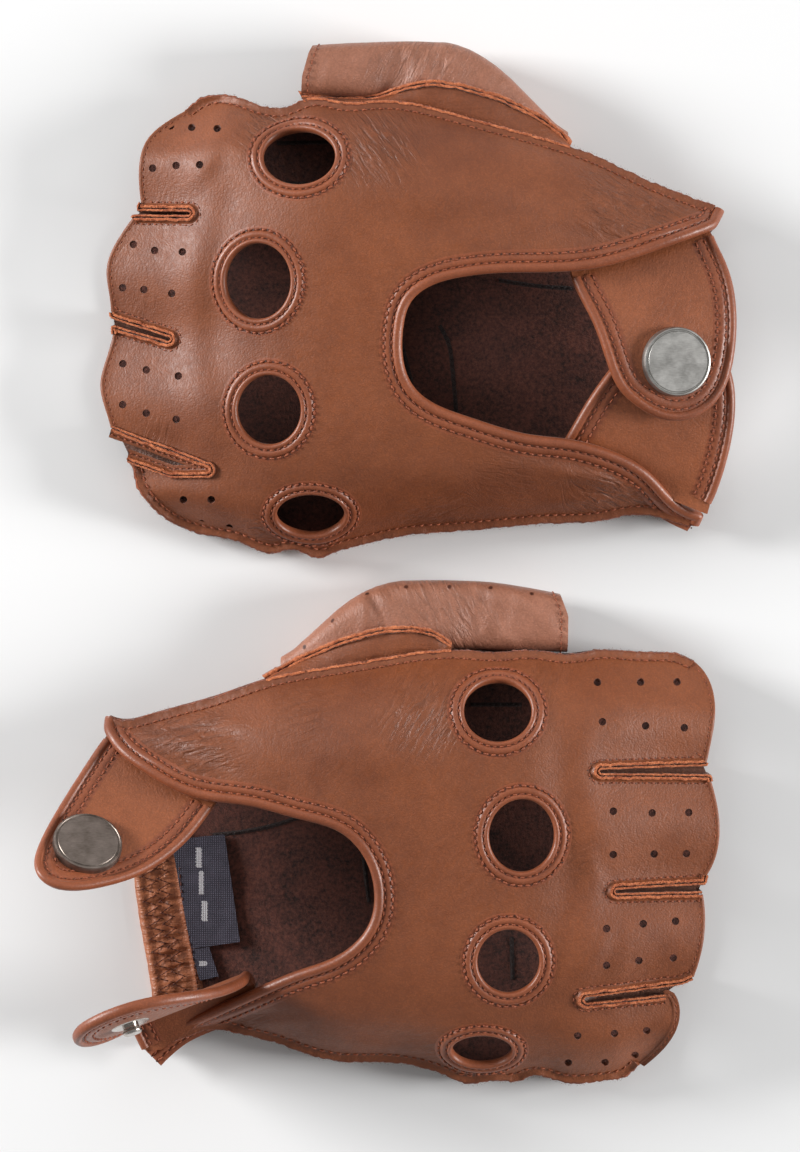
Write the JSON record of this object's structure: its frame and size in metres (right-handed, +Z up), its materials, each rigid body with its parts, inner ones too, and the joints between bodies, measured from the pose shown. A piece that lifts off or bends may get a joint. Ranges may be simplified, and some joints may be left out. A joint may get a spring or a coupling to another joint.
{
  "type": "fingerless driving gloves",
  "caption": "Pair of unlined leather half-finger driving gloves with knuckle holes, an open back, and a snap strap at each wrist.",
  "frame": {"origin": "middle of the laid-out pair on the surface they lie on", "axes": "+Z up, +Y to the thumb side, along the pair; +X to the right glove's fingers"},
  "size_m": [0.1608, 0.2416, 0.044],
  "materials": {
    "glove_leather": "satin nappa",
    "fourchette_leather": "satin nappa",
    "strap_leather": "satin nappa",
    "binding_leather": "satin nappa",
    "facing_leather": "satin nappa",
    "elastic_facing": "gathered",
    "label_weave": "woven",
    "snap_cap_metal": "brushed",
    "snap_metal": "polished"
  },
  "bodies": {
    "left_glove": {"left_back_panel": "glove_leather", "left_fourchette_index_middle": "fourchette_leather", "left_fourchette_middle_ring": "fourchette_leather", "left_fourchette_ring_little": "fourchette_leather", "left_knuckle_ring_index": "facing_leather", "left_knuckle_ring_little": "facing_leather", "left_knuckle_ring_middle": "facing_leather", "left_knuckle_ring_ring": "facing_leather", "left_opening_binding": "binding_leather", "left_palm_panel": "glove_leather", "left_snap_eyelet": "snap_metal", "left_snap_stud": "snap_metal", "left_strap_root": "strap_leather", "left_thumb": "glove_leather", "left_under_tab": "strap_leather", "left_under_tab_binding": "binding_leather", "left_under_tab_root": "strap_leather", "left_wrist_elastic": "elastic_facing", "left_wrist_hem": "binding_leather"},
    "left_strap_flap": {"left_snap_cap": "snap_cap_metal", "left_snap_socket": "snap_metal", "left_snap_spring": "snap_metal", "left_strap": "strap_leather", "left_strap_binding": "binding_leather"},
    "right_glove": {"right_back_panel": "glove_leather", "right_fourchette_index_middle": "fourchette_leather", "right_fourchette_middle_ring": "fourchette_leather", "right_fourchette_ring_little": "fourchette_leather", "right_knuckle_ring_index": "facing_leather", "right_knuckle_ring_little": "facing_leather", "right_knuckle_ring_middle": "facing_leather", "right_knuckle_ring_ring": "facing_leather", "right_opening_binding": "binding_leather", "right_palm_panel": "glove_leather", "right_size_label": "label_weave", "right_strap_root": "strap_leather", "right_thumb": "glove_leather", "right_under_tab_root": "strap_leather", "right_woven_label": "label_weave", "right_wrist_elastic": "elastic_facing", "right_wrist_hem": "binding_leather"},
    "right_strap_flap": {"right_snap_cap": "snap_cap_metal", "right_snap_socket": "snap_metal", "right_snap_spring": "snap_metal", "right_strap": "strap_leather", "right_strap_binding": "binding_leather"},
    "right_tab_flap": {"right_snap_eyelet": "snap_metal", "right_snap_stud": "snap_metal", "right_under_tab": "strap_leather", "right_under_tab_binding": "binding_leather"}
  },
  "joints": [
    {"name": "left_strap_fold", "type": "hinge", "parent": "left_glove", "child": "left_strap_flap", "pos_m": [0.04284, 0.06368, 0.0246], "axis": [-0.9321, -0.2971, 0.2071], "range_deg": [0, 90]},
    {"name": "right_glove_lift", "type": "slide", "parent": "left_glove", "child": "right_glove", "axis": [0, 0, 1], "range_m": [0, 0.2]},
    {"name": "right_strap_fold", "type": "hinge", "parent": "right_glove", "child": "right_strap_flap", "pos_m": [-0.04076, -0.05752, 0.0232], "axis": [-0.8157, 0.5271, -0.2384], "range_deg": [-16, 58]},
    {"name": "right_tab_fold", "type": "hinge", "parent": "right_glove", "child": "right_tab_flap", "pos_m": [-0.05816, -0.10692, 0.0088], "axis": [0.8934, 0.3625, 0.2654], "range_deg": [-72, 35]}
  ]
}
